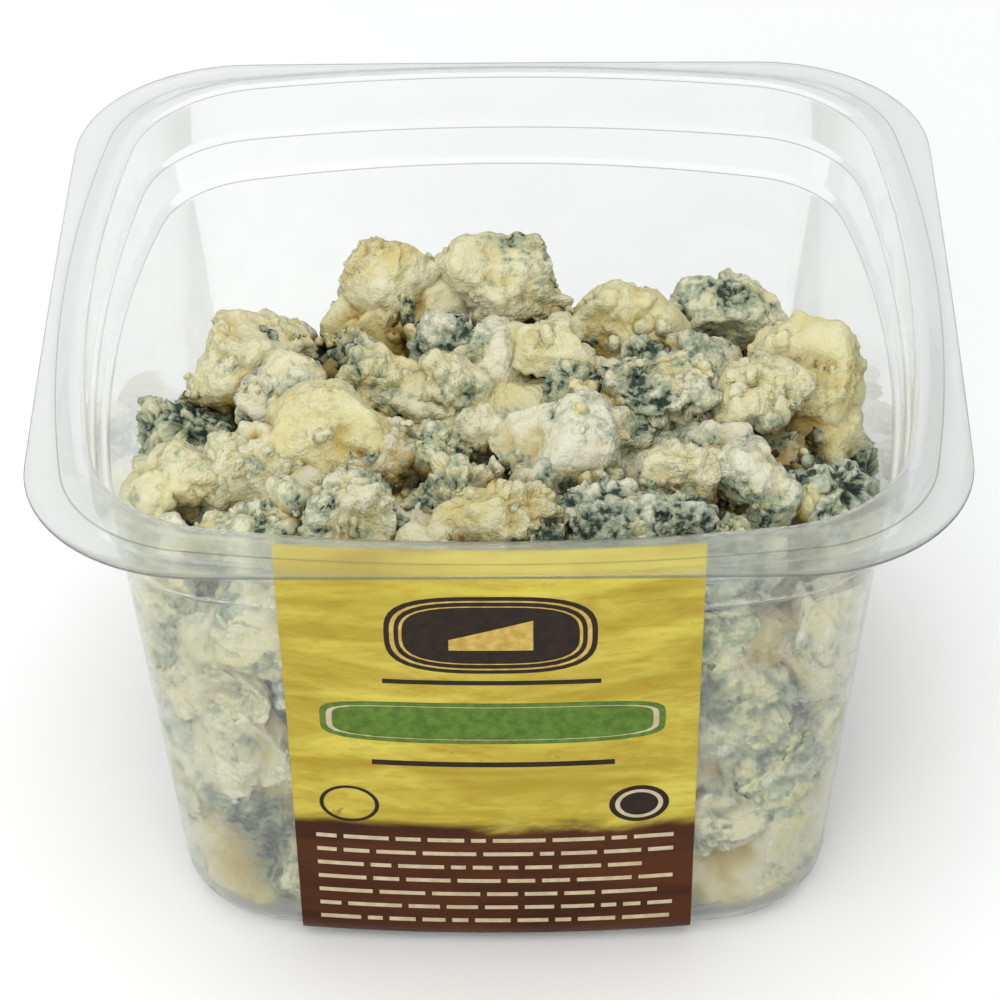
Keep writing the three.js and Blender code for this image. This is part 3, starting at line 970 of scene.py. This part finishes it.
def build_wall_crumbs(draws):
    pile = Pile(5)
    chance = pile.chance
    for row in range(WALL_CRUMB_ROWS):
        z = WALL_CRUMB_FOOT + row * WALL_CRUMB_STEP
        rise = (z - BASE_RADIUS) / (WALL_TOP - BASE_RADIUS)
        half = lerp(BASE_HALF + BASE_RADIUS, WALL_CRUMB_TOP, rise) - WALL_CRUMB_DEPTH
        ring, steps = walk_round(outline(half, ROOM_CORNER, ROOM_BOW))
        for i in range(WALL_CRUMBS_ROUND):
            share = ((i + 0.5 * (row % 2) + 0.5 * draws.next()) / WALL_CRUMBS_ROUND) % 1
            x = np.interp(share * steps[-1], steps, ring[:, 0])
            y = np.interp(share * steps[-1], steps, ring[:, 1])
            halves = [draws.between(WALL_CRUMB_HALF) for _ in range(3)]
            lift = WALL_CRUMB_LIFT * (draws.next() - 0.5)
            turn = math.pi * draws.next()
            if z + lift + 0.6 * halves[2] >= heap_level(x, y):
                continue
            draws.skip(CRUMB_CORNERS + 1)
            pile.add((x, y, z + lift), halves, turn, WALL_EDGE, chance.uniform(0.0, 0.6),
                     chance.uniform(0.15, 0.95), chance.uniform(0.6, 1))
    return pile


def build_top_grains(surface):
    pile = Pile(6)
    chance = pile.chance
    placed = 0
    while placed < TOP_GRAINS:
        x, y = chance.uniform(-TOP_REACH, TOP_REACH, 2)
        room = room_radius(np.array([TOP_HEIGHT]), np.array([math.atan2(y, x)]))[0]
        if math.hypot(x, y) > room - TOP_MARGIN:
            continue
        here = surface.heights[surface.cells(x, y)]
        if here > surface.mean[surface.cells(x, y)] + chance.uniform(*TOP_ABOVE_MEAN):
            continue
        half = lerp(*GRAIN_HALF, chance.uniform() ** 1.6)
        halves = half * chance.uniform(*GRAIN_STRETCH, 3)
        pile.add((x, y, here - GRAIN_SINK * half), halves, chance.uniform(0, 3), half * GRAIN_FINENESS,
                 chance.uniform(0.2, 0.9), chance.uniform(0.3, 0.9), 0.6, uneven=0.3, sides=GRAIN_FACES)
        placed += 1
    return pile


# The mass of the heap behind its crumbs: close to the walls, uneven, and pressed to them in places.
def build_core(material, surface):
    around, walk = walk_round(outline(CORE_HALF, CORE_CORNER, ROOM_BOW))
    columns = int(walk[-1] / CORE_EDGE)
    steps = np.arange(columns) / columns * walk[-1]
    top = np.column_stack([np.interp(steps, walk, around[:, axis]) for axis in range(2)])
    angle = np.arctan2(top[:, 1], top[:, 0])
    rings = []
    for share in np.arange(1, CORE_TOP_RINGS + 1) / (CORE_TOP_RINGS + 1):
        flat = top * share
        rings.append(np.column_stack([flat, heap_level(flat[:, 0], flat[:, 1]) - CORE_SINK]))
    edge_height = heap_level(top[:, 0], top[:, 1]) - CORE_SINK
    rows = int(HEAP_TOP / CORE_EDGE)
    for share in np.arange(rows) / (rows - 1):
        z = lerp(edge_height, CORE_FOOT, share)
        radius = room_radius(z, angle) - CORE_GAP
        rings.append(np.column_stack([radius * np.cos(angle), radius * np.sin(angle), z]))
    last = rings[-1]
    for share in CORE_FOOT_SHARES:
        rings.append(last * (share, share, 1))
    points, faces = loft((0, 0, HEAP_TOP - CORE_SINK), rings, (0, 0, CORE_FOOT))
    broad = value_noise(points, CORE_SWELL_SIZE, 95) - 0.5
    depth, rough = crumbled(points, np.full(len(points), 0.9))
    depth += CORE_SWELL_DEPTH * broad
    hollow = np.clip(-depth / HOLLOW_DEPTH, 0, 1)
    moved = points + vertex_normals(points, faces[0]) * depth[:, None]
    placed = press(moved, CORE_PRESS - PRESSED_RELIEF * hollow)
    values = {
        "grain": points,
        "tone": value_noise(points, CORE_TONE_SIZE, 96),
        "mould": smoothstep(value_noise(points, CORE_MOULD_SIZE, 97), 0.25, 0.75),
        "hollow": hollow,
        "rough": rough,
        "gap_shade_and_mould": surface.gap_shade_and_mould(placed),
        "pressed": pressed_share(placed),
    }
    return add_mesh("cheese_core", placed, faces, material, values)


def build_cheese(material):
    draws = Draws(HEAP_SEED)
    lumps = build_large_lumps(draws)
    crumbs = build_surface_crumbs(draws)
    walls = build_wall_crumbs(draws)
    for pile in (lumps, crumbs, walls):
        pile.break_up()
    surface = Surface([lumps, crumbs, walls])
    grains = build_top_grains(surface)
    grains.break_up()
    heap = lumps.build("cheese_lumps", material, surface, LUMP_SHADE)
    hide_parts("cheese")
    crumbs.build("cheese_crumbs", material, surface)
    walls.build("cheese_wall_crumbs", material, surface)
    grains.build("cheese_grains", material, surface)
    build_core(material, surface)


# The label
def label_levels(distance):
    levels = []
    radius = BASE_RADIUS + distance
    for turn in np.radians(np.linspace(10, 90, 17)):
        out = radius * math.sin(turn)
        height = BASE_RADIUS - radius * math.cos(turn)
        levels.append((BASE_HALF + out, BASE_CORNER + out, BASE_BOW, height))
    return np.array(levels + [
        (0.0544 + distance, 0.0176, 0.0036, 0.045),
        (0.0593 + distance, 0.0205, 0.0030, WALL_TOP + 0.0064),
        (0.05975 + distance, 0.0215, 0.0029, FLANGE_HEIGHT + 0.0008),
    ])


# A point of the label at a distance from its middle line, a height, and a distance off the wall.
def label_point(x, z, distance):
    x = np.asarray(x, dtype=float) + LABEL_SHIFT
    z = np.asarray(z, dtype=float)
    levels = label_levels(distance)
    half, corner, bow = [np.interp(z, levels[:, 3], levels[:, i]) for i in range(3)]
    reach = half - corner
    radius = (reach * reach + bow * bow) / (2 * bow)
    return np.column_stack([x, radius - half - np.sqrt(radius * radius - x * x), z])


def grid_quads(columns, rows):
    near = (np.arange(rows - 1)[:, None] * columns + np.arange(columns - 1)[None, :]).ravel()
    return np.column_stack([near, near + 1, near + columns + 1, near + columns])


def label_grid(distance, columns, rows):
    shares = np.linspace(-0.5, 0.5, columns)
    foot = np.linspace(LABEL_FOOT, BASE_RADIUS, 12, endpoint=False)
    heights = np.concatenate([foot, np.linspace(BASE_RADIUS, LABEL_TOP, rows - 12)])
    z = np.repeat(heights, columns)
    width = np.interp(z, [LABEL_FOOT, LABEL_TOP], [LABEL_FOOT_WIDTH, LABEL_TOP_WIDTH])
    return label_point(np.tile(shares, rows) * width, z, distance)


def build_label(material):
    columns, rows = LABEL_CELLS
    face = label_grid(LABEL_FACE, columns, rows)
    back = label_grid(LABEL_BACK, columns, rows)
    quads = grid_quads(columns, rows)
    count = len(face)
    rim = np.concatenate([
        np.arange(columns),
        np.arange(1, rows) * columns + columns - 1,
        (rows - 1) * columns + np.arange(columns - 2, -1, -1),
        np.arange(rows - 2, 0, -1) * columns,
    ])
    after = np.roll(rim, -1)
    sides = np.column_stack([rim, rim + count, after + count, after])
    faces = [np.vstack([quads, quads[:, ::-1] + count, sides])]
    label = add_mesh("label_sheet", np.vstack([face, back]), faces, material)
    label.data.set_sharp_from_angle(angle=math.radians(60))
    bare = dull_material("paper_back", 0.0016, 4, 0.65, (222, 220, 206), (238, 237, 226))
    label.data.materials.append(bare)
    sides_of_paper = np.concatenate([np.zeros(len(quads)), np.ones(len(quads)), np.zeros(len(sides))])
    label.data.polygons.foreach_set("material_index", sides_of_paper.astype(np.int32))
    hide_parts("label")


# Flat printed shapes, each laid on the label's face as a small grid.
class Print:
    def __init__(self):
        self.points = []
        self.quads = []
        self.count = 0

    def add(self, x, z, columns, rows, layer=1):
        self.points.append(label_point(x, z, LABEL_FACE + layer * PRINT_LIFT))
        self.quads.append(grid_quads(columns, rows) + self.count)
        self.count += columns * rows

    def bar(self, x, z, width, height):
        columns = max(2, int(width / BAR_CELL) + 1)
        across = np.linspace(x - width / 2, x + width / 2, columns)
        up = np.linspace(z - height / 2, z + height / 2, 3)
        self.add(np.tile(across, 3), np.repeat(up, columns), columns, 3)

    # A ring or a filled disc with a rounded-square outline; power 2 is an ellipse.
    def shape(self, x, z, wide, high, inner=0.0, power=2.0, layer=1):
        turns = np.linspace(0, 2 * math.pi, SHAPE_STEPS)
        cosine, sine = np.cos(turns), np.sin(turns)
        stretch = (np.abs(cosine) ** power + np.abs(sine) ** power) ** (-1 / power)
        shares = np.linspace(1, inner, 3 + int(wide * (1 - inner) / SHAPE_CELL))
        px = x + np.concatenate([wide / 2 * share * cosine * stretch for share in shares])
        pz = z + np.concatenate([high / 2 * share * sine * stretch for share in shares])
        self.add(px, pz, SHAPE_STEPS, len(shares), layer)

    # A flat slice, low at its left end.
    def wedge(self, x, z, wide, high, layer):
        along = np.linspace(0, 1, 9)
        foot = z - high / 2
        top = foot + high * (0.35 + 0.65 * along)
        rows = np.linspace(0, 1, 5)
        px = np.tile(x + wide * (along - 0.5), 5)
        pz = np.concatenate([foot + (top - foot) * share for share in rows])
        self.add(px, pz, 9, 5, layer)

    # Faces that meet at the middle of a disc have three corners.
    def build(self, name, material):
        points = np.vstack(self.points)
        quads = np.vstack(self.quads)
        closed = (points[quads[:, 2]] == points[quads[:, 3]]).all(axis=1)
        faces = [quads[~closed], quads[closed][:, :3]]
        return add_mesh(name, points, faces, material)


def build_prints():
    dark = ink_material("ink_dark", (30, 22, 16), (44, 32, 22))
    gold = ink_material("ink_gold", (170, 140, 62), (196, 168, 92))
    green = ink_material("ink_green", (70, 98, 30), (92, 122, 46))
    pale = ink_material("ink_pale", (176, 160, 130), (196, 182, 150))
    chance = np.random.RandomState(12)
    panel = Print()
    panel.shape(0, EMBLEM_HEIGHT, 0.029, 0.0155, power=3.2)
    panel.bar(0, RULE_HEIGHTS[0], 0.030, 0.0009)
    panel.bar(0, RULE_HEIGHTS[1], 0.034, 0.0010)
    panel.shape(BADGE_ASIDE, BADGE_HEIGHT, 0.0085, 0.0075)
    panel.shape(-BADGE_ASIDE, BADGE_HEIGHT, 0.0085, 0.0075, inner=0.86)
    panel.build("label_panel", dark)
    trim = Print()
    trim.shape(0, EMBLEM_HEIGHT, 0.0275, 0.0140, inner=0.955, power=3.2, layer=2)
    trim.shape(0, EMBLEM_HEIGHT, 0.0250, 0.0118, inner=0.965, power=3.2, layer=2)
    trim.wedge(0, EMBLEM_HEIGHT, 0.0115, 0.0060, layer=2)
    trim.build("label_trim", gold)
    band = Print()
    band.shape(0, BAND_HEIGHT, 0.0480, 0.0085, power=5)
    band.build("label_band", green)
    lines = Print()
    lines.shape(0, BAND_HEIGHT, 0.0462, 0.0069, inner=0.965, power=5, layer=2)
    lines.shape(BADGE_ASIDE, BADGE_HEIGHT, 0.0068, 0.0059, inner=0.8, layer=2)
    for row in range(LINE_ROWS):
        z = LINES_TOP - row * LINES_PITCH
        x = -LINES_ASIDE
        while x < LINES_END:
            width = min(chance.uniform(*DASH_WIDTH), LINES_ASIDE - x)
            lines.bar(x + width / 2, z, width, DASH_HEIGHT)
            x += width + LINES_GAP
    lines.build("label_lines", pale)


# Room, lights and camera
def build_room():
    bpy.ops.mesh.primitive_plane_add(size=6, location=(0, 0, 0))
    floor = bpy.context.object
    floor.name = "floor"
    pale = dull_material("pale_floor", 0.2, 2, 0.5, (246, 246, 246), (249, 249, 249))
    floor.data.materials.append(pale)
    world = bpy.data.worlds.new("studio")
    world.use_nodes = True
    nodes = world.node_tree.nodes
    link = world.node_tree.links.new
    background = nodes["Background"]
    background.inputs["Color"].default_value = (0.98, 0.99, 1, 1)
    split = nodes.new("ShaderNodeSeparateXYZ")
    fade = nodes.new("ShaderNodeMapRange")
    fade.inputs["To Min"].default_value = SKY_LOW
    fade.inputs["To Max"].default_value = SKY_HIGH
    link(nodes.new("ShaderNodeTexCoord").outputs["Generated"], split.inputs[0])
    link(split.outputs["Z"], fade.inputs["Value"])
    link(fade.outputs["Result"], background.inputs["Strength"])
    bpy.context.scene.world = world


def add_softbox(name, location, aim, size, mirrored):
    lamp = bpy.data.lights.new(name, "AREA")
    lamp.shape = "RECTANGLE"
    lamp.size, lamp.size_y = size
    lamp.energy = BOX_POWER
    box = bpy.data.objects.new(name, lamp)
    box.location = location
    box.rotation_euler = (Vector(aim) - Vector(location)).to_track_quat("-Z", "Y").to_euler()
    box.visible_glossy = mirrored
    box.visible_transmission = False
    bpy.context.scene.collection.objects.link(box)


def build_camera():
    data = bpy.data.cameras.new("camera")
    data.sensor_width = SENSOR * 1000
    data.lens = FOCAL_PIXELS / IMAGE_PIXELS * SENSOR * 1000
    data.clip_start = 0.01
    camera = bpy.data.objects.new("camera", data)
    azimuth, elevation, roll = CAMERA_AZIMUTH, CAMERA_ELEVATION, CAMERA_ROLL
    back = Vector((math.sin(azimuth) * math.cos(elevation), -math.cos(azimuth) * math.cos(elevation),
                   math.sin(elevation)))
    right = Vector((math.cos(azimuth), math.sin(azimuth), 0))
    up = back.cross(right)
    across = right * math.cos(roll) + up * math.sin(roll)
    upward = up * math.cos(roll) - right * math.sin(roll)
    turn = Matrix((across, upward, back)).transposed().to_4x4()
    camera.matrix_world = Matrix.Translation(Vector(CAMERA_AIM) + back * CAMERA_DISTANCE) @ turn
    bpy.context.scene.collection.objects.link(camera)
    bpy.context.scene.camera = camera


build_camera()
build_room()
add_softbox("key", (-0.1, -0.25, 1.2), (0, 0, 0.05), (1.3, 1.3), True)
add_softbox("front", (-0.4, -1.15, 0.45), (0, 0, 0.04), (0.9, 0.6), False)
bpy.context.scene.view_settings.view_transform = "Standard"
build_tub()
build_cheese(cheese_material())
build_label(label_material())
build_prints()

bpy.context.view_layer.update()
